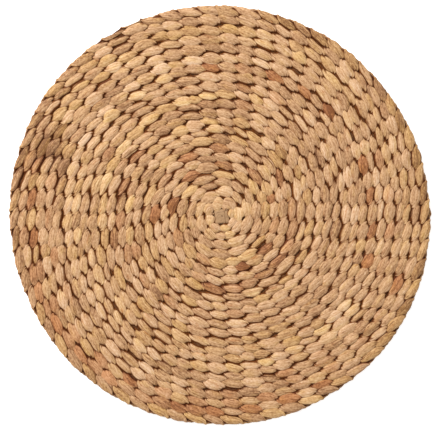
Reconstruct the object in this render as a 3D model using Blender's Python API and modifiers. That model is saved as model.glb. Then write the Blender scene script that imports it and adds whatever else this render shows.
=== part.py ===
"""Round twined placemat of water hyacinth, lying flat with its face up.

Two flattened stems twine round stakes that fan out from a crossing in the middle,
in one long row that winds outwards clockwise. The woven disc is one solid. The
crossing of the stakes shows in the middle as a small square, and is another.

Metres, +Z up. The origin is on the underside, at the middle of the disc's outline
box, and the disc lies on the plane z = 0.
"""

from collections import namedtuple
from math import atan2, cos, pi, radians, sin

import bmesh
import bpy
from mathutils import Vector

THICKNESS = 0.008

# The spiral row, seen from above, about the middle of the weave.
ROW_PITCH = 0.00774
LAST_ROW_RADIUS = 0.1871  # to the row's outer side, where its last turn ends whole
ROW_FULL_AT = radians(130)  # which is here
ROW_GONE_AT = radians(30)  # going on clockwise, its end has tapered away by here

# Each stitch of the last turn bulges a little between two stakes.
LAST_ROW_STITCHES = 68
BULGE = 0.001
POINTS_PER_STITCH = 4

# The slow unevenness of a rim woven by hand.
Wave = namedtuple("Wave", "crests height first_crest_deg")
RIM_WAVES = (
    Wave(crests=1, height=0.00066, first_crest_deg=82),
    Wave(crests=2, height=0.00076, first_crest_deg=-21),
    Wave(crests=4, height=0.00037, first_crest_deg=-38),
)

# The rim is rounded where the stems turn over its edge.
RIM_ROUNDING = 0.0034
RIM_STEPS = 3

# The crossing of the stakes, sunk a little below both sides of the weave.
CROSSING_SIDE = 0.0133
CROSSING_TURN = radians(8)
CROSSING_SUNK = 0.0011
CROSSING_ROUNDING = 0.0012
CROSSING_STEPS = 2
GAP = 0.0003


def clear_scene():
    for old in list(bpy.data.objects):
        bpy.data.objects.remove(old, do_unlink=True)


def new_collection(name):
    collection = bpy.data.collections.new(name)
    bpy.context.scene.collection.children.link(collection)
    return collection


def dried_stem(name, colour, roughness):
    """A matt material of dried plant stem."""
    material = bpy.data.materials.new(name)
    material.use_nodes = True
    shader = material.node_tree.nodes["Principled BSDF"]
    shader.inputs["Base Color"].default_value = (*colour, 1)
    shader.inputs["Roughness"].default_value = roughness
    shader.inputs["Metallic"].default_value = 0
    return material


def row_fall(angle):
    """How far the spiral has drawn in at this angle, from where its last turn is whole."""
    whole_turn = 2 * pi
    gone = whole_turn - (ROW_FULL_AT - ROW_GONE_AT)
    along = (angle - ROW_FULL_AT) % whole_turn
    back = max(0, (along - gone) / (whole_turn - gone))
    eased = back * back * (3 - 2 * back)
    return ROW_PITCH * (along / whole_turn - eased)


def rim_radius(angle):
    """The outline about the middle of the weave: spiral, stitches and slow waves."""
    radius = LAST_ROW_RADIUS - row_fall(angle)
    radius -= BULGE * (1 - abs(sin(angle * LAST_ROW_STITCHES / 2)))
    for wave in RIM_WAVES:
        crest = radians(wave.first_crest_deg)
        radius += wave.height * cos(wave.crests * (angle - crest))
    return radius


def outline_mesh(name):
    """The disc's outline as one flat face."""
    flat = bmesh.new()
    points = LAST_ROW_STITCHES * POINTS_PER_STITCH
    bmesh.ops.create_circle(flat, cap_ends=True, segments=points, radius=1)
    for vert in flat.verts:
        angle = atan2(vert.co.y, vert.co.x)
        vert.co = rim_radius(angle) * Vector((cos(angle), sin(angle), 0))
    bmesh.ops.recalc_face_normals(flat, faces=flat.faces[:])
    mesh = bpy.data.meshes.new(name)
    flat.to_mesh(mesh)
    flat.free()
    return mesh


def block_mesh(name, side, height):
    """A square block, standing on z = 0."""
    block = bmesh.new()
    bmesh.ops.create_cube(block, size=1)
    bmesh.ops.scale(block, vec=(side, side, height), verts=block.verts)
    bmesh.ops.translate(block, vec=(0, 0, height / 2), verts=block.verts)
    mesh = bpy.data.meshes.new(name)
    block.to_mesh(mesh)
    block.free()
    return mesh


def place(name, mesh, collection, middle):
    piece = bpy.data.objects.new(name, mesh)
    piece.parent = middle
    collection.objects.link(piece)
    return piece


def round_edges(piece, width, steps):
    bevel = piece.modifiers.new("rounded edges", "BEVEL")
    bevel.width = width
    bevel.segments = steps
    bevel.limit_method = "ANGLE"
    bevel.angle_limit = radians(60)


def shade_round(piece):
    piece.data.shade_smooth()
    piece.data.set_sharp_from_angle(angle=radians(40))


def crossing_hole(collection, middle):
    """The square well in the disc that the crossing sits in, as a cutter."""
    side = CROSSING_SIDE + 2 * GAP
    mesh = block_mesh("crossing_hole", side, 2 * THICKNESS)
    hole = place("crossing_hole", mesh, collection, middle)
    hole.location.z = -THICKNESS / 2
    hole.rotation_euler.z = CROSSING_TURN
    hole.hide_render = True
    hole.display_type = "WIRE"
    return hole


def woven_disc(collection, middle, hole):
    disc = place("woven_disc", outline_mesh("woven_disc"), collection, middle)
    body = disc.modifiers.new("thickness of the weave", "SOLIDIFY")
    body.thickness = THICKNESS
    body.offset = 1
    round_edges(disc, RIM_ROUNDING, RIM_STEPS)
    cut = disc.modifiers.new("well for the crossing", "BOOLEAN")
    cut.operation = "DIFFERENCE"
    cut.solver = "EXACT"
    cut.object = hole
    disc.data.materials.append(dried_stem("twined_stems", (0.53, 0.32, 0.15), 0.7))
    shade_round(disc)
    return disc


def stake_crossing(collection, middle):
    height = THICKNESS - 2 * CROSSING_SUNK
    mesh = block_mesh("stake_crossing", CROSSING_SIDE, height)
    crossing = place("stake_crossing", mesh, collection, middle)
    crossing.location.z = CROSSING_SUNK
    crossing.rotation_euler.z = CROSSING_TURN
    round_edges(crossing, CROSSING_ROUNDING, CROSSING_STEPS)
    mesh.materials.append(dried_stem("stake_stems", (0.42, 0.28, 0.14), 0.75))
    shade_round(crossing)
    return crossing


def middle_of_box(points):
    """The middle of the box round these points, as seen from above."""
    low = Vector((min(p.x for p in points), min(p.y for p in points), 0))
    high = Vector((max(p.x for p in points), max(p.y for p in points), 0))
    return (low + high) / 2


def build():
    clear_scene()
    parts = new_collection("round_placemat")
    cutters = new_collection("cutters")
    middle = bpy.data.objects.new("middle_of_weave", None)
    parts.objects.link(middle)
    hole = crossing_hole(cutters, middle)
    disc = woven_disc(parts, middle, hole)
    stake_crossing(parts, middle)
    # The spiral's middle is off the middle of the outline's box, which is the origin.
    middle.location = -middle_of_box([vert.co for vert in disc.data.vertices])
    bpy.context.view_layer.update()


build()
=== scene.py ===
import math
from collections import namedtuple

import bpy
import numpy as np
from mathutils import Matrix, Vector


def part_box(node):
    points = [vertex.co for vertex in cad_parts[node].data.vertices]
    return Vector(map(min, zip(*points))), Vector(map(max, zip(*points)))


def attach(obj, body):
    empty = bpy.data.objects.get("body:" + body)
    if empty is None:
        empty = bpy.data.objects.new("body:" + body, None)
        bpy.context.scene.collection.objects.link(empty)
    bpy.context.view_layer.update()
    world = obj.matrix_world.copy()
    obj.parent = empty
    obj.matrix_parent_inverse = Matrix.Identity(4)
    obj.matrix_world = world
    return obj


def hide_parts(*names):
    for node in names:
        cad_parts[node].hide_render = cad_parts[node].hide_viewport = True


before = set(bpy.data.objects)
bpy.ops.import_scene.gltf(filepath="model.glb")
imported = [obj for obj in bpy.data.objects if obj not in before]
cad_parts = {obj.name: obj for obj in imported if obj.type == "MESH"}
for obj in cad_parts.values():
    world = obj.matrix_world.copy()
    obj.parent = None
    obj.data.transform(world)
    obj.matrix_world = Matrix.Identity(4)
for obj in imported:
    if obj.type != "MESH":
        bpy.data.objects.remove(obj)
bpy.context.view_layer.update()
print("frame loaded")

pi = math.pi
mm = 0.001
discLow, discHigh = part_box("woven_disc")
squareLow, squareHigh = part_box("stake_crossing")
middle = (squareLow + squareHigh) / 2  # the spiral winds round the crossing
discMiddle = np.array([middle.x, middle.y, (discLow.z + discHigh.z) / 2])
halfHeight = (discHigh.z - discLow.z) / 2


def easeInOut(x):
    x = np.clip(x, 0, 1)
    return x * x * (3 - 2 * x)


def unit(v):
    return v / np.maximum(np.linalg.norm(v, axis=-1, keepdims=True), 1e-12)


def outwardAt(theta):
    return np.stack([np.cos(theta), np.sin(theta), np.zeros_like(theta)], -1)


row = {
    "pitch": 7.74 * mm,
    "rimRadius": 187.1 * mm,  # to the outside of the last whole turn, where it ends
    "wholeUntil": 130,  # degrees, where the row is last whole
    "outlineInBy": 30,  # and where the outline has drawn in a whole row, going on clockwise
    "endsOver": 22,  # degrees, over which its own end thins away
    "sharedBy": 8,  # rows that widen to fill the room it leaves
    "firstRing": 11.3 * mm,  # the middle of the ring round the square
    "squareTurn": 8,  # degrees
    "squareness": 0.6 * mm,
    "wander": 0.27 * mm,  # how far the row strays, so that it is wider in some places
    "wanderWaves": 9,
    "wanderDrift": 1.7,  # how far its waves turn from one row to the next
    "wanderSeed": 41,
}

rimWave = namedtuple("rimWave", "crests height firstCrest")
rimWaves = [
    rimWave(crests=1, height=0.66 * mm, firstCrest=82),
    rimWave(crests=2, height=0.76 * mm, firstCrest=-21),
    rimWave(crests=4, height=0.37 * mm, firstCrest=-38),
]

# rows wound out from the first ring; past the last line the row is a plain spiral
growthLine = namedtuple("growthLine", "turn rowsOut")
startOfRow = [
    growthLine(-0.5, -0.16),
    growthLine(0, -0.16),
    growthLine(0.3, 0),
    growthLine(0.55, 0.06),
    growthLine(0.75, -0.06),
    growthLine(0.88, 0.1),
    growthLine(1.03, 0.6),
    growthLine(1.3, 0.86),
    growthLine(1.55, 1.07),
    growthLine(1.8, 1.3),
    growthLine(2.05, 1.63),
]
ringShare = 0.42  # how much of a turn the closed first ring costs the spiral
growthStep = 0.02
growthBlur = 13  # steps over which the corners of the table are rounded
plainFrom = 3.5  # turns from which the row is a plain spiral
growthTurns = np.arange(-0.5, 4, growthStep)
growthRows = np.where(
    growthTurns < startOfRow[-1].turn,
    np.interp(growthTurns, [g.turn for g in startOfRow], [g.rowsOut for g in startOfRow]),
    growthTurns - ringShare,
)
smoothing = np.hanning(growthBlur) / np.hanning(growthBlur).sum()
growthRows = np.convolve(np.pad(growthRows, growthBlur // 2, "edge"), smoothing, "valid")

wholeTurns = (row["rimRadius"] - row["pitch"] / 2 - row["firstRing"]) / row["pitch"] + ringShare
outlineTurns = (row["wholeUntil"] - row["outlineInBy"]) / 360
endTurns = row["endsOver"] / 360
wanderRandom = np.random.default_rng(row["wanderSeed"])
wanderPhase = wanderRandom.uniform(0, 2 * pi, row["wanderWaves"])
wanderDrift = wanderRandom.normal(0, row["wanderDrift"], row["wanderWaves"])


def rowAngle(turn):
    return math.radians(row["wholeUntil"]) - 2 * pi * (turn - wholeTurns)


def rowWhole(turn):
    return 1 - easeInOut((turn - wholeTurns) / endTurns)


def rowRadius(turn):
    turn = np.asarray(turn, float)
    theta = rowAngle(turn)
    rows = np.where(turn < plainFrom, np.interp(turn, growthTurns, growthRows), turn - ringShare)
    radius = row["firstRing"] + row["pitch"] * rows
    # what the outline keeps of the last row, less what the row itself still fills
    rowsIn = np.maximum(np.ceil(wholeTurns - turn), 0)
    outermost = turn + rowsIn
    outlineLeft = 1 - easeInOut((outermost - wholeTurns) / outlineTurns)
    room = outlineLeft - rowWhole(outermost)
    atEnd = outlineLeft - 0.5 - rowWhole(outermost) / 2
    filling = room * np.clip(1 - (rowsIn - 0.5) / row["sharedBy"], 0, 1)
    radius = radius + row["pitch"] * np.where(rowsIn > 0, filling, atEnd)
    out = np.clip(radius / row["rimRadius"], 0, 1)
    for wave in rimWaves:
        crest = math.radians(wave.firstCrest)
        radius = radius + wave.height * np.cos(wave.crests * (theta - crest)) * out**1.5
    corners = np.cos(4 * (theta - math.radians(row["squareTurn"])))
    radius = radius - row["squareness"] * corners * np.exp(-turn / 1.6)
    free = easeInOut((out - 0.1) / 0.25) * np.clip((1 - out) * 6, 0, 1)  # not at either end
    for k in range(row["wanderWaves"]):
        sway = np.sin((k + 3) * theta + wanderPhase[k] + wanderDrift[k] * turn)
        radius = radius + row["wander"] * sway * free * (0.5 if k % 2 else 1)
    return radius


stakeZone = namedtuple("stakeZone", "fromTurn stakes")
stakeZones = [
    stakeZone(fromTurn=-1, stakes=8),
    stakeZone(fromTurn=1.1, stakes=10),
    stakeZone(fromTurn=2.3, stakes=14),
    stakeZone(fromTurn=3.9, stakes=18),
    stakeZone(fromTurn=4.9, stakes=25),
    stakeZone(fromTurn=8.5, stakes=38),
    stakeZone(fromTurn=12.7, stakes=46),
    stakeZone(fromTurn=14.8, stakes=58),
    stakeZone(fromTurn=18.9, stakes=66),
]
stakes = {
    "seed": 12,
    "opensBefore": 0.7,  # turns over which the row makes room for a new stake
    "opensOver": 1.9,
    "wobble": 0.09,  # of the space between two stakes
    "keepsWobble": 0.6,  # from one turn to the next
    "spacingPasses": 6,  # to settle the spaces between the stakes of a turn
    "countsFrom": 0.3,  # of its full space, when a new stake counts as one of them
    "firstTurn": -0.2,
    "lastShare": 0.95,  # of the row's thinning end
    "halfWidth": 2.6 * mm,
    "halfThick": 1.25 * mm,
    "betweenHalfThick": 0.45 * mm,  # the crushed pith between two stakes
    "innerRadius": 5 * mm,
    "columns": 396,
    "pastLastRow": 1.8 * mm,
}


def addStakes():
    rng = np.random.default_rng(stakes["seed"])
    joins = [-5.0] * stakeZones[0].stakes
    for zone in stakeZones[1:]:
        extra = zone.stakes - len(joins)
        spots = (np.arange(extra) + 0.5 + rng.uniform(-0.25, 0.25, extra)) * len(joins) / extra
        for spot in sorted(spots.astype(int), reverse=True):
            joins.insert(spot + 1, zone.fromTurn)
    return np.array(joins)


def crossStakes(joins):
    rng = np.random.default_rng(stakes["seed"] + 1)
    own = np.arange(len(joins))
    wobble = np.zeros(len(joins))
    found = []
    for whole in range(-1, int(wholeTurns + endTurns) + 2):
        turn = whole + own / len(joins)
        wobble = stakes["keepsWobble"] * wobble + rng.normal(0, stakes["wobble"], len(joins))
        for _ in range(stakes["spacingPasses"]):
            room = easeInOut((turn[:, None] - joins[None] + stakes["opensBefore"]) / stakes["opensOver"])
            ends = np.cumsum(room, 1)
            turn = whole + (ends[own, own] - room[own, own] / 2) / ends[:, -1]
        present = (room > stakes["countsFrom"]).sum(1)
        for i in own[turn >= joins]:
            found.append((turn[i] + wobble[i] / present[i], i))
    found.sort()
    lastTurn = wholeTurns + stakes["lastShare"] * endTurns
    return np.array([f for f in found if stakes["firstTurn"] <= f[0] <= lastTurn])


crossings = crossStakes(addStakes())
crossTurn = crossings[:, 0]
crossStake = crossings[:, 1].astype(int)
print("stakes:", crossStake.max() + 1, "crossings:", len(crossings))

weaver = {
    "faceRings": 16,  # along a stitch on the face
    "backRings": 12,  # and on the back
    "aroundOut": 10,  # sides on the half that shows
    "aroundIn": 6,
    "faceShare": 0.58,  # of the way from one stitch to the next but one, on the face
    "halfWidth": 4.95 * mm,  # pressed flat over a stake
    "halfThick": 1.3 * mm,
    "neckWidth": 1.25 * mm,  # half of it, where a stem dives between two stakes
    "curl": 1.1 * mm,  # how far its edges bend in round the stake
    "knob": 1.2 * mm,  # how far a neck stands out at the rim
    "sway": 2.9 * mm,  # to each side of the row's middle
    "swayShare": 0.23,  # and at most this share of the stitch's length
    "leafPower": 2.5,
    "crownPower": 2.6,
    "rollPower": 7,
    "underSkin": 0.3 * mm,  # room for the folds under the top of the disc
    "unevenWidth": 0.1,
    "unevenSway": 0.25,
    "unevenTilt": 0.14,
    "unevenPlace": 0.4 * mm,
    "shortest": 11,  # stakes that a stem crosses
    "longest": 23,
    "sectionPower": 0.75,  # below 1 the section is boxier than an ellipse
    "middleFrom": 15.0,  # turns where a weaver is cut into its three pieces
    "outerFrom": 19.3,
    "seed": 7,
}

# what the length of each stem carries: fine folds across its face
foldDrift = 16 * mm  # of stem, over which the folds move across it
fold = namedtuple("fold", "waves depth")
weaverFolds = [fold(1.7, 0.14 * mm), fold(2.9, 0.1 * mm), fold(4.6, 0.07 * mm)]


def sectionShape():
    out = np.linspace(0, pi, weaver["aroundOut"] + 1)[:-1]
    back = np.linspace(pi, 2 * pi, weaver["aroundIn"] + 1)[:-1]
    angle = np.concatenate([out, back])
    return np.cos(angle), np.sign(np.sin(angle)) * np.abs(np.sin(angle)) ** weaver["sectionPower"]


def perStitch(values, along):
    # a value for each stitch, passed on smoothly from one to the next
    low = np.clip(along.astype(int), 0, len(values) - 2)
    part = easeInOut(along - low)
    return values[low] * (1 - part) + values[low + 1] * part


def ringPlaces(strand, count):
    # closer together towards the necks, where a stem bends most
    neck = weaver["faceShare"]
    face = neck * np.sin(np.arange(-1, 1, 2 / weaver["faceRings"]) * pi / 2)
    back = 1 + (1 - neck) * np.sin(np.arange(-1, 1, 2 / weaver["backRings"]) * pi / 2)
    pair = np.concatenate([face, back])
    along = (np.arange(-1, count // 2 + 2)[:, None] * 2 + pair[None]).ravel() - strand
    return along[(along >= 0) & (along <= count - 1)]


def followRow(strand):
    rng = np.random.default_rng(weaver["seed"] + strand)
    count = len(crossings)
    along = ringPlaces(strand, count)
    turn = np.interp(along, np.arange(count), crossTurn)
    theta = rowAngle(turn)
    radius = rowRadius(turn)
    whole = np.maximum(rowWhole(turn), 0.15)
    outward = outwardAt(theta)
    spacing = 2 * pi * rowRadius(crossTurn) * np.gradient(crossTurn)
    spacing = np.convolve(np.pad(spacing, 1, "edge"), np.full(3, 1 / 3), "valid")
    spacing = np.interp(along, np.arange(count), spacing)

    # on the face this runs from -1 to 1 along a stitch, and on the back from 1 to -1
    phase = (along + strand + 1) % 2 - 1
    neck = weaver["faceShare"]
    onFace = np.abs(phase) <= neck
    toNeck = np.where(onFace, np.abs(phase) / neck, (1 - np.abs(phase)) / (1 - neck))
    leaf = toNeck * np.sign(phase)
    face = np.where(onFace, 1, -1)

    roll = pi / 2 * toNeck ** weaver["rollPower"]
    roll = np.where(onFace, roll, pi - roll) * np.sign(phase)
    roll = roll + perStitch(rng.normal(0, weaver["unevenTilt"], count), along) * (1 - toNeck**2)

    last = easeInOut((turn - wholeTurns + 1) / 0.06)  # the rim stays within the outline
    outside = rowRadius(turn + 1) - radius
    inside = radius - rowRadius(turn - 1)
    twoRows = np.where(turn < 1, 2.1 * outside, outside * (1 - last) + inside * (1 + last))
    rows = np.clip(twoRows / 2 / row["pitch"], 0.75, 1.3) * (1 - 0.12 * last)
    rows = rows * (1 + 0.14 * np.exp(-((turn / 2.5) ** 2)))
    wide = np.clip(perStitch(rng.normal(1, weaver["unevenWidth"], count), along), 0.72, 1.22)
    thick = np.clip(perStitch(rng.normal(1, 0.07, count), along), 0.85, 1.12)
    sink = np.clip(1.12 - wide, 0, 1) * 1.6 * mm  # a narrow stitch lies lower
    sink = sink + np.abs(perStitch(rng.normal(0, 0.15 * mm, count), along))
    uneven = np.clip(perStitch(rng.normal(1, weaver["unevenSway"], count), along), 0.5, 1.5)
    sway = np.minimum(weaver["sway"], weaver["swayShare"] * spacing) * (uneven * (1 - toNeck) + toNeck)

    # fuller on the back, where a stitch is shorter
    swell = np.where(onFace, (1 - toNeck ** weaver["leafPower"]) ** 0.7, (1 - toNeck**4) ** 0.5)
    neckWidth = weaver["neckWidth"]
    halfWidth = (neckWidth + (weaver["halfWidth"] * wide * rows - neckWidth) * swell) * whole
    halfThick = (neckWidth + (weaver["halfThick"] * thick - neckWidth) * swell) * (0.4 + 0.6 * whole)
    rise = halfHeight - weaver["halfThick"] - weaver["underSkin"] - sink
    crown = np.where(onFace, (1 - toNeck ** weaver["crownPower"]) ** 0.8, (1 - toNeck**5) ** 0.7)
    up = face * crown * rise * (0.5 + 0.5 * whole)
    side = -(0.8 * leaf + 0.2 * leaf**3) * sway * whole
    side = side + perStitch(rng.normal(0, weaver["unevenPlace"], count), along) * (1 - toNeck) * whole
    side = side + last * (weaver["knob"] * toNeck**4 * (leaf < 0) - 0.8 * mm)
    halfThick = halfThick * (1 + 0.25 * last * toNeck**4)

    centre = outward * (radius + side)[:, None]
    centre[:, 2] = up
    tangent = unit(np.gradient(centre, axis=0))
    facing = -outward * np.sin(roll)[:, None]
    facing[:, 2] += np.cos(roll)
    across = unit(np.cross(tangent, facing))
    return {
        "along": along,
        "axis": outward * radius[:, None] + discMiddle,
        "centre": centre + discMiddle,
        "across": across,
        "outside": unit(np.cross(across, tangent)),
        "halfWidth": halfWidth,
        "halfThick": halfThick,
        "toNeck": toNeck,
        "radius": radius,
        "last": last,
        "whole": whole,
        "jitter": perStitch(rng.normal(0, 1, count), along),
    }


def cutStems(strand, count):
    # a stem starts and ends where it goes under a stake, at every other crossing
    rng = np.random.default_rng(weaver["seed"] + 10 + strand)
    cuts = [1 - strand]
    while cuts[-1] < count - weaver["shortest"]:
        cut = cuts[-1] + int(rng.integers(weaver["shortest"], weaver["longest"] + 1))
        cuts.append(cut + (cut + strand + 1) % 2)
    cuts[-1] = count
    return list(zip(cuts[:-1], cuts[1:]))


stemTones = {
    "tone": 0.5,
    "toneSpread": 0.08,
    "stitchSpread": 0.09,
    "warmthSpread": 0.25,
    "strawMiddle": 0.17,  # the first rounds are paler
    "strawRadius": 30 * mm,
    # painted shade on the last row, which curves down at the rim
    "rimShade": 0.15,
    "foldShade": 2.2 * mm,  # in the painted shade, a fold this deep is as dark as the bottom of the weave
    "edgeShade": 0.23,
    "rimOpen": 0.58,  # how much less painted shade the gaps get at the rim
    "endOpen": 0.55,  # and at the row's thinning end
}
stain = namedtuple("stain", "x y size depth")
stains = [
    stain(x=-150 * mm, y=58 * mm, size=13 * mm, depth=0.4),
    stain(x=-90 * mm, y=95 * mm, size=10 * mm, depth=0.15),
    stain(x=-128 * mm, y=-12 * mm, size=12 * mm, depth=0.12),
]


def buildStem(run, first, last, rng):
    part = (run["along"] > first - 0.37) & (run["along"] < last + 0.37)
    along = run["along"][part]
    centre = run["centre"][part]
    fromStart = along - along[0]
    fromEnd = along[-1] - along
    thin = easeInOut(0.2 + fromStart / 0.4) * easeInOut(0.15 + fromEnd / 0.35)
    tuck = 1 - 0.55 * (1 - easeInOut(fromStart / 0.9))  # inside the stem before it
    axis = run["axis"][part]
    centre = axis + (centre - axis) * tuck[:, None]

    shapeAcross, shapeThrough = sectionShape()
    flat = 1 - run["toNeck"][part] ** 3
    x = (run["halfWidth"][part] * thin)[:, None] * shapeAcross
    y = (run["halfThick"][part] * thin)[:, None] * shapeThrough
    y = y - weaver["curl"] * shapeAcross**2 * (thin * flat)[:, None]

    length = np.concatenate([[0], np.cumsum(np.linalg.norm(np.diff(centre, axis=0), axis=1))])
    folds = np.zeros_like(x)
    for each in weaverFolds:
        sweep = length / foldDrift * rng.uniform(0.6, 1.3) + rng.uniform(0, 2 * pi)
        drift = rng.uniform(0, 2 * pi) + 1.2 * np.sin(sweep)
        folds = folds + each.depth * np.cos(each.waves * pi * shapeAcross + drift[:, None])
    y = y + folds * np.clip(shapeThrough, 0, 1) * (thin * flat)[:, None]

    points = centre[:, None] + run["across"][part][:, None] * x[:, :, None]
    points = points + run["outside"][part][:, None] * y[:, :, None]
    fromSkin = np.clip(1 - np.abs(points[:, :, 2] - discMiddle[2]) / halfHeight, 0, 1)
    fromRow = np.hypot(points[:, :, 0] - discMiddle[0], points[:, :, 1] - discMiddle[1])
    fromRow = fromRow - run["radius"][part][:, None]
    atRim = run["last"][part][:, None] * np.clip((fromRow - 1.8 * mm) / (1.4 * mm), 0, 1)
    # painted shade: darker deeper in the weave, in the folds and along each stem's edges, less in the
    # open gaps at the rim and at the row's thinning end
    paintedShade = fromSkin - folds / stemTones["foldShade"] + stemTones["edgeShade"] * shapeAcross**6
    paintedShade = paintedShade * (1 - stemTones["rimOpen"] * atRim)
    paintedShade = paintedShade * (1 - stemTones["endOpen"] * (1 - run["whole"][part][:, None]))
    grain = np.stack([np.broadcast_to(length[:, None], x.shape), x, y], 2) + rng.uniform(-1, 1, 3)

    nearMiddle = np.exp(-((run["radius"][part] / stemTones["strawRadius"]) ** 2))
    tone = rng.normal(0, stemTones["toneSpread"]) + stemTones["stitchSpread"] * run["jitter"][part]
    tone = stemTones["tone"] + tone * (1 - 0.6 * nearMiddle) + stemTones["strawMiddle"] * nearMiddle
    # painted shade: the last row is darker
    tone = tone - stemTones["rimShade"] * run["last"][part]
    for each in stains:
        away = (centre[:, 0] - each.x) ** 2 + (centre[:, 1] - each.y) ** 2
        tone = tone - each.depth * np.exp(-away / (2 * each.size**2))
    warmth = rng.normal(0.5, stemTones["warmthSpread"]) + 0.1 * run["jitter"][part][::-1]
    return {
        "points": points,
        "length": length,
        "grain": grain,
        "tone": np.broadcast_to(tone[:, None], x.shape),
        "warmth": np.broadcast_to(warmth[:, None], x.shape),
        "paintedShade": paintedShade,
    }


def addAttributes(mesh, values):
    for key, perPoint in values.items():
        vector = perPoint.ndim == 2
        layer = mesh.attributes.new(key, "FLOAT_VECTOR" if vector else "FLOAT", "POINT")
        layer.data.foreach_set("vector" if vector else "value", perPoint.astype(np.float32).ravel())


def newPiece(name, mesh, replaced):
    mesh.shade_smooth()
    piece = bpy.data.objects.new(name, mesh)
    bpy.context.scene.collection.objects.link(piece)
    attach(piece, "root")
    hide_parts(replaced)
    return piece


def joinStems(name, tubes):
    points, quads, caps, uvs, start = [], [], [], [], 0
    longest = max(tube["length"][-1] for tube in tubes)
    for band, tube in enumerate(tubes):
        n, around = tube["points"].shape[:2]
        points.append(tube["points"].reshape(-1, 3))
        ring = np.arange(n - 1)[:, None] * around
        here = np.arange(around)[None]
        after = (here + 1) % around
        ends = [ring + here, ring + after, ring + around + after, ring + around + here]
        quads.append(np.stack(ends, 2).reshape(-1, 4) + start)
        # each stem is a band of its own in the map, seamed along its hidden side
        u = 0.01 + 0.98 * tube["length"] / longest
        v = (band + 0.04 + 0.92 * np.arange(around + 1) / around) / len(tubes)
        corners = np.zeros((n - 1, around, 4, 2))
        corners[:, :, [0, 1], 0] = u[:-1, None, None]
        corners[:, :, [2, 3], 0] = u[1:, None, None]
        corners[:, :, [0, 3], 1] = v[:-1][None, :, None]
        corners[:, :, [1, 2], 1] = v[1:][None, :, None]
        uvs.append(corners.reshape(-1, 2))
        caps.append((start, around, (u[0], v[0])))
        caps.append((start + (n - 1) * around, around, (u[-1], v[0])))
        start += n * around
    faces = np.concatenate(quads).tolist()
    capUvs = []
    for i, (first, around, place) in enumerate(caps):
        ends = list(range(first, first + around))
        faces.append(ends[::-1] if i % 2 == 0 else ends)
        capUvs.append(np.full((around, 2), place))
    mesh = bpy.data.meshes.new(name)
    mesh.from_pydata(np.concatenate(points), [], faces)
    for key in ("grain", "tone", "warmth", "paintedShade"):
        perPoint = [tube[key].reshape(-1, *tube[key].shape[2:]) for tube in tubes]
        addAttributes(mesh, {key: np.concatenate(perPoint)})
    layer = mesh.uv_layers.new(name="OFBake")
    layer.data.foreach_set("uv", np.concatenate(uvs + capUvs).astype(np.float32).ravel())
    return newPiece(name, mesh, "woven_disc")


def weaveStrand(strand, letter):
    rng = np.random.default_rng(weaver["seed"] + 20 + strand)
    run = followRow(strand)
    groups = {"inner": [], "middle": [], "outer": []}
    for first, last in cutStems(strand, len(crossings)):
        where = crossTurn[min(last, len(crossings) - 1)]
        part = "middle" if where < weaver["outerFrom"] else "outer"
        if where < weaver["middleFrom"]:
            part = "inner"
        groups[part].append(buildStem(run, first, last, rng))
    return [joinStems(f"weaver_{letter}_{part}", tubes) for part, tubes in groups.items()]


weavers = weaveStrand(0, "a") + weaveStrand(1, "b")
print("two weavers laid:", len(weavers), "pieces")


def rimTurn(theta):
    # the row's turn that lies outermost in this direction
    along = (math.radians(row["wholeUntil"]) - theta) % (2 * pi) / (2 * pi)
    return wholeTurns - 1 + along


def stakeTracks():
    tracks = []
    for i in range(crossStake.max() + 1):
        turns = crossTurn[crossStake == i]
        order = np.argsort(turns)
        radius = rowRadius(turns[order])
        theta = np.unwrap(rowAngle(turns[order]) % (2 * pi))
        tracks.append((radius, theta))
    return tracks


def buildStakeLayer():
    columns = stakes["columns"]
    theta = np.arange(columns) * 2 * pi / columns
    whole = rowWhole(rimTurn(theta) + 1)
    edge = np.where(whole > 0.3, rowRadius(rimTurn(theta) + 1), rowRadius(rimTurn(theta)))
    edge = edge + stakes["pastLastRow"] * np.where(whole > 0.3, whole, 1)
    rings = int(wholeTurns) + 1
    share = np.linspace(0, 1, rings)[:, None]
    radius = stakes["innerRadius"] * (1 - share) + edge[None] * share
    ridge = np.zeros_like(radius)
    for trackRadius, trackTheta in stakeTracks():
        angle = np.interp(radius, trackRadius, trackTheta)
        away = (theta[None] - angle + pi) % (2 * pi) - pi
        swelling = np.sqrt(np.clip(1 - (away * radius / stakes["halfWidth"]) ** 2, 0, 1))
        ridge = np.maximum(ridge, swelling * (radius > trackRadius[0] - row["pitch"]))
    ridge = ridge * easeInOut((radius - stakes["innerRadius"]) / row["pitch"])
    half = stakes["betweenHalfThick"] + (stakes["halfThick"] - stakes["betweenHalfThick"]) * ridge
    flat = outwardAt(theta)[None] * radius[:, :, None] + discMiddle
    top, under = flat.copy(), flat.copy()
    top[:, :, 2] += half
    under[:, :, 2] -= half
    sheet = np.concatenate([top, under[::-1]])
    levels = len(sheet)
    level = np.arange(levels)[:, None] * columns
    nextLevel = (np.arange(levels)[:, None] + 1) % levels * columns
    here = np.arange(columns)[None]
    after = (here + 1) % columns
    corners = [level + here, nextLevel + here, nextLevel + after, level + after]
    quads = np.stack(corners, 2).reshape(-1, 4)
    mesh = bpy.data.meshes.new("stake_layer")
    mesh.from_pydata(sheet.reshape(-1, 3), [], quads.tolist())
    grain = np.stack([np.concatenate([radius, radius[::-1]]), sheet[:, :, 0], sheet[:, :, 1]], 2)
    addAttributes(mesh, {"grain": grain.reshape(-1, 3)})
    return newPiece("stake_layer", mesh, "woven_disc")


stakeLayer = buildStakeLayer()
print("stake layer laid")

pad = {
    "side": 13.3 * mm,
    "cells": 44,
    "squareness": 7,
    "wrinkle": 0.16 * mm,
    "wrinkleSpacing": 1.7 * mm,
    "strapEdge": 0.42,  # of half the side, where one stake lies over the rest
    "strapStep": 0.3 * mm,
    "seamDepth": 0.35 * mm,
    "underTop": 0.35 * mm,  # room for the wrinkles under the top of the crossing
    "dotPlace": (0.4 * mm, 0.2 * mm),
    "dotDepth": 0.55 * mm,
    "dotRadius": 0.75 * mm,
}


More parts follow.
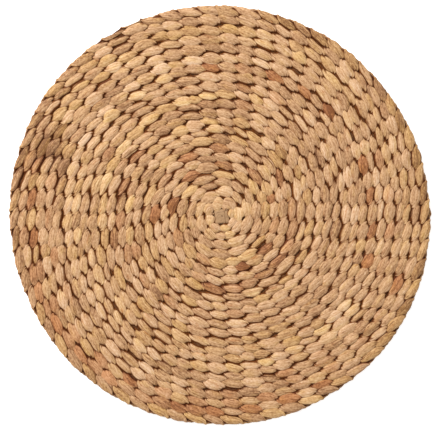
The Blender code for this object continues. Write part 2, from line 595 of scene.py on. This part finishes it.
def buildPad():
    cells = pad["cells"]
    half = pad["side"] / 2
    halfThick = (squareHigh.z - squareLow.z) / 2
    spread = np.sin(np.linspace(-1, 1, cells + 1) * pi / 2)
    u, v = np.meshgrid(spread, spread, indexing="ij")
    power = pad["squareness"]
    body = (np.clip(1 - np.abs(u) ** power, 0, 1) * np.clip(1 - np.abs(v) ** power, 0, 1)) ** 0.4
    x = half * u * (1 - 0.035 * v**2) + 0.25 * mm * np.sin(3.1 * v + 0.6) * np.abs(u)
    y = half * v * (1 - 0.045 * u**2) + 0.3 * mm * np.sin(2.7 * u + 2.1) * np.abs(v)
    bend = np.hypot(x + 1.5 * mm, (y + 2.5 * mm) * 0.8)
    wave = np.sin(2 * pi * bend / pad["wrinkleSpacing"] + 0.9 * np.sin(5 * u + 2 * v))
    wrinkle = pad["wrinkle"] * wave * (0.45 + 0.55 * np.sin(3 * u - 2 * v + 1) ** 2)
    strap = easeInOut((u - pad["strapEdge"]) / 0.12) * pad["strapStep"]
    seam = pad["seamDepth"] * np.exp(-(((u - pad["strapEdge"]) / 0.06) ** 2))
    fromDot = np.hypot(x - pad["dotPlace"][0], y - pad["dotPlace"][1])
    dot = pad["dotDepth"] * np.exp(-((fromDot / pad["dotRadius"]) ** 2))
    relief = wrinkle - strap - seam - dot
    height = (halfThick - pad["underTop"]) * body + relief * body**2
    turned = math.radians(row["squareTurn"])
    inner = (np.abs(u) < 1) & (np.abs(v) < 1)
    number = np.full(u.shape, -1)
    topNumber = np.arange(u.size).reshape(u.shape)
    number[inner] = u.size + np.arange(inner.sum())
    underNumber = np.where(inner, number, topNumber)
    east = x * math.cos(turned) - y * math.sin(turned)
    north = x * math.sin(turned) + y * math.cos(turned)
    top = np.stack([east, north, height], 2) + discMiddle
    under = np.stack([east, north, -height], 2) + discMiddle
    points = np.concatenate([top.reshape(-1, 3), under[inner]])
    faces = []
    for numbers, flip in ((topNumber, False), (underNumber, True)):
        square = [numbers[:-1, :-1], numbers[1:, :-1], numbers[1:, 1:], numbers[:-1, 1:]]
        faces += np.stack(square[::-1] if flip else square, 2).reshape(-1, 4).tolist()
    mesh = bpy.data.meshes.new("crossing_pad")
    mesh.from_pydata(points, [], faces)
    # painted shade in the seam, the dimple and the wrinkles' valleys, and round the pad's edge
    paintedShade = np.clip((seam + dot - 0.9 * wrinkle) / (0.5 * mm), 0, 1) + 0.8 * (1 - body)
    grain = np.stack([y, x, height], 2)
    addAttributes(mesh, {
        "paintedShade": np.concatenate([paintedShade.ravel(), paintedShade[inner]]),
        "grain": np.concatenate([grain.reshape(-1, 3), grain[inner]]),
    })
    return newPiece("crossing_pad", mesh, "stake_crossing")


crossingPad = buildPad()
print("crossing laid")

lightGain = 1.5  # how much brighter than its own colour a lit stem shows


def dye(red, green, blue):
    # a stem's own colour, from how it looks under the studio light
    def linear(level):
        level = level / 255
        return level / 12.92 if level <= 0.04045 else ((level + 0.055) / 1.055) ** 2.4

    return tuple(linear(level) / lightGain for level in (red, green, blue)) + (1,)


class shade:
    # a value on its way through a material; sums on it add the nodes
    def __init__(self, tree, socket):
        self.tree = tree
        self.socket = socket

    def node(self, kind, settings, inputs, output=0):
        made = self.tree.nodes.new(kind)
        stops = settings.pop("stops", None)
        for key, value in settings.items():
            setattr(made, key, value)
        if stops:
            while len(made.color_ramp.elements) < len(stops):
                made.color_ramp.elements.new(0.5)
            for element, (position, colour) in zip(made.color_ramp.elements, stops):
                element.position = position
                element.color = colour
        for key, value in inputs.items():
            if isinstance(value, shade):
                self.tree.links.new(value.socket, made.inputs[key])
            else:
                made.inputs[key].default_value = value
        return shade(self.tree, made.outputs[output])

    def sum(self, operation, first, second):
        return self.node("ShaderNodeMath", {"operation": operation}, {0: first, 1: second})

    def __add__(self, other):
        return self.sum("ADD", self, other)

    def __radd__(self, other):
        return self.sum("ADD", other, self)

    def __sub__(self, other):
        return self.sum("SUBTRACT", self, other)

    def __rsub__(self, other):
        return self.sum("SUBTRACT", other, self)

    def __mul__(self, other):
        return self.sum("MULTIPLY", self, other)

    def __rmul__(self, other):
        return self.sum("MULTIPLY", other, self)

    def between(self, low, high):
        inputs = {"Value": self, "From Min": low, "From Max": high}
        return self.node("ShaderNodeMapRange", {"interpolation_type": "SMOOTHSTEP"}, inputs)

    def attribute(self, name, output="Fac"):
        return self.node("ShaderNodeAttribute", {"attribute_name": name}, {}, output)

    def stretched(self, sizes):
        # sizes of the grain along, across and through the stem, in metres
        inputs = {0: self, 1: tuple(1 / size for size in sizes)}
        return self.node("ShaderNodeVectorMath", {"operation": "MULTIPLY"}, inputs)

    def noise(self, detail=2.0, roughness=0.5, distortion=0.0):
        inputs = {"Vector": self, "Scale": 1, "Detail": detail, "Roughness": roughness}
        inputs["Distortion"] = distortion
        return self.node("ShaderNodeTexNoise", {"noise_dimensions": "3D"}, inputs)

    def ramp(self, stops):
        return self.node("ShaderNodeValToRGB", {"stops": stops}, {0: self})

    def mixed(self, other, amount, blend="MIX"):
        settings = {"data_type": "RGBA", "blend_type": blend}
        return self.node("ShaderNodeMix", settings, {"Factor": amount, 6: self, 7: other}, 2)


def newFinish(name):
    material = bpy.data.materials.new(name)
    material.use_nodes = True
    shader = material.node_tree.nodes["Principled BSDF"]
    return material, shader, shade(material.node_tree, None)


def connect(shader, name, value):
    value.tree.links.new(value.socket, shader.inputs[name])


def bumped(start, height, distance, strength):
    inputs = {"Height": height, "Distance": distance, "Strength": strength}
    return start.node("ShaderNodeBump", {}, inputs, "Normal")


stemFinish = {
    "streaks": (18 * mm, 1.1 * mm, 1.6 * mm),
    "streakContrast": 1.3,
    "fibres": (9 * mm, 0.3 * mm, 0.5 * mm),
    "fibreContrast": 0.8,
    "blotches": (3.4 * mm, 1.3 * mm, 2 * mm),
    "blotchContrast": 0.7,
    "speckle": (1.8 * mm, 0.9 * mm, 1.2 * mm),
    "dyes": [
        (0.0, dye(137, 95, 63)),
        (0.22, dye(173, 127, 88)),
        (0.48, dye(203, 158, 115)),
        (0.72, dye(221, 177, 135)),
        (1.0, dye(240, 202, 165)),
    ],
    "reddish": (0.92, 0.7, 0.56, 1),
    "reddishDarker": 0.26,
    "straw": (1.03, 1.03, 0.86, 1),
    "strawSpots": (13 * mm, 4.5 * mm, 5 * mm),
    "strawSpot": (1.02, 1.02, 0.78, 1),
    "strawSpotShare": 0.55,
    "rustSpots": (11 * mm, 2.2 * mm, 4 * mm),
    "rustSpot": (0.84, 0.62, 0.46, 1),
    "rustSpotShare": 0.8,
    # the colour of the painted shade in the weave's depths, folds and edges
    "paintedShade": (0.25, 0.11, 0.02, 1),
    "bumpDepth": 0.25 * mm,
    "gloss": 0.15,
}


def weaverFinish():
    material, shader, start = newFinish("weaver_finish")
    grain = start.attribute("grain", "Vector")
    paintedShade = start.attribute("paintedShade")
    streaks = grain.stretched(stemFinish["streaks"]).noise(detail=3, roughness=0.6)
    fibres = grain.stretched(stemFinish["fibres"]).noise(detail=2)
    blotches = grain.stretched(stemFinish["blotches"]).noise(detail=2, distortion=0.4)
    speckle = grain.stretched(stemFinish["speckle"]).noise(detail=1)
    strawSpots = grain.stretched(stemFinish["strawSpots"]).noise(detail=1)
    rustSpots = grain.stretched(stemFinish["rustSpots"]).noise(detail=3, distortion=0.8)

    warmth = start.attribute("warmth")
    reddish = warmth.between(0.72, 1.15)
    tone = start.attribute("tone") + (streaks - 0.5) * stemFinish["streakContrast"]
    tone = tone + (fibres - 0.5) * stemFinish["fibreContrast"]
    tone = tone + (blotches - 0.5) * stemFinish["blotchContrast"]
    tone = tone + (speckle - 0.5) - reddish * stemFinish["reddishDarker"]
    inStraw = strawSpots.between(0.5, 0.7) * stemFinish["strawSpotShare"]
    inRust = rustSpots.between(0.58, 0.76) * stemFinish["rustSpotShare"]
    colour = tone.ramp(stemFinish["dyes"])
    colour = colour.mixed(stemFinish["reddish"], reddish, "MULTIPLY")
    colour = colour.mixed(stemFinish["straw"], (1 - warmth).between(0.55, 1.0), "MULTIPLY")
    colour = colour.mixed(stemFinish["strawSpot"], inStraw, "MULTIPLY")
    colour = colour.mixed(stemFinish["rustSpot"], inRust, "MULTIPLY")
    # painted shade
    colour = colour.mixed(stemFinish["paintedShade"], paintedShade.between(0.38, 0.6), "MULTIPLY")
    connect(shader, "Base Color", colour)
    connect(shader, "Roughness", 0.56 + blotches * 0.16 + streaks * 0.08)
    connect(shader, "Normal", bumped(start, streaks * 0.7 + fibres * 0.5, stemFinish["bumpDepth"], 0.9))
    shader.inputs["Specular IOR Level"].default_value = stemFinish["gloss"]
    return material


def stakeFinish():
    material, shader, start = newFinish("stake_painted_shade")
    grain = start.attribute("grain", "Vector")
    streaks = grain.stretched((14 * mm, 1.2 * mm, 1.2 * mm)).noise(detail=3)
    # painted shade: the stakes and pith, seen only down in the pits, are coloured dark brown
    colour = streaks.ramp([(0.3, dye(78, 44, 18)), (0.7, dye(118, 76, 40))])
    connect(shader, "Base Color", colour)
    connect(shader, "Roughness", 0.7 + streaks * 0.15)
    connect(shader, "Normal", bumped(start, streaks, 0.3 * mm, 0.6))
    shader.inputs["Specular IOR Level"].default_value = 0.2
    return material


def padFinish():
    material, shader, start = newFinish("pad_finish")
    grain = start.attribute("grain", "Vector")
    paintedShade = start.attribute("paintedShade")
    streaks = grain.stretched((1.6 * mm, 12 * mm, 3 * mm)).noise(detail=3, distortion=0.7)
    fibres = grain.stretched((0.35 * mm, 6 * mm, 1 * mm)).noise(detail=2)
    tone = (streaks - 0.5) * 0.9 + (fibres - 0.5) * 0.4 + 0.5
    colour = tone.ramp([(0.15, dye(132, 96, 58)), (0.5, dye(176, 135, 92)), (0.85, dye(200, 158, 112))])
    # painted shade
    colour = colour.mixed((0.42, 0.27, 0.13, 1), paintedShade.between(0.1, 1.1), "MULTIPLY")
    connect(shader, "Base Color", colour)
    connect(shader, "Roughness", 0.62 + streaks * 0.15)
    connect(shader, "Normal", bumped(start, streaks * 0.6 + fibres * 0.5, 0.2 * mm, 0.7))
    return material


finish = weaverFinish()
for piece in weavers:
    piece.data.materials.append(finish)
stakeLayer.data.materials.append(stakeFinish())
crossingPad.data.materials.append(padFinish())

# the cloth as a whole: the area inside the disc's outline
outline = np.linspace(0, 2 * pi, 721)[:-1]
clothArea = float(np.mean((rowRadius(rimTurn(outline)) + row["pitch"] / 2) ** 2) * pi)
print("finishes on, cloth area", round(clothArea, 4))

studio = {
    "floorSize": 6,
    "fill": 0.9,
    "floorGlow": 0.42,
    "windowPlace": (-1.3, 1.5, 1.7),
    "windowSize": 0.9,
    "windowPower": 84,
    "lens": 100,
    "viewWidth": 0.3851,
    "viewCentre": (0.0003, 0.0004),
}
scene = bpy.context.scene
scene.view_settings.view_transform = "Standard"

bpy.ops.mesh.primitive_plane_add(size=studio["floorSize"])
floor = bpy.context.object
floor.name = "floor"
paint, paintShader, _ = newFinish("floor_paint")
paintShader.inputs["Base Color"].default_value = (0.88, 0.88, 0.88, 1)
paintShader.inputs["Roughness"].default_value = 0.8
paintShader.inputs["Specular IOR Level"].default_value = 0.1
paintShader.inputs["Emission Color"].default_value = (1, 1, 1, 1)
paintShader.inputs["Emission Strength"].default_value = studio["floorGlow"]
floor.data.materials.append(paint)

scene.world = bpy.data.worlds.new("world")
scene.world.use_nodes = True
sky = scene.world.node_tree.nodes["Background"]
sky.inputs["Color"].default_value = (1, 1, 1, 1)
sky.inputs["Strength"].default_value = studio["fill"]


def addWindow(name, place, size, power):
    light = bpy.data.lights.new(name, "AREA")
    light.size = size
    light.energy = power
    lamp = bpy.data.objects.new(name, light)
    lamp.location = place
    lamp.rotation_euler = (-Vector(place)).to_track_quat("-Z", "Y").to_euler()
    scene.collection.objects.link(lamp)


addWindow("window_light", studio["windowPlace"], studio["windowSize"], studio["windowPower"])

camera = bpy.data.objects.new("camera", bpy.data.cameras.new("camera"))
camera.data.lens = studio["lens"]
distance = studio["viewWidth"] * camera.data.lens / camera.data.sensor_width
camera.location = (*studio["viewCentre"], distance + discHigh.z)
scene.collection.objects.link(camera)
scene.camera = camera
print("studio ready")
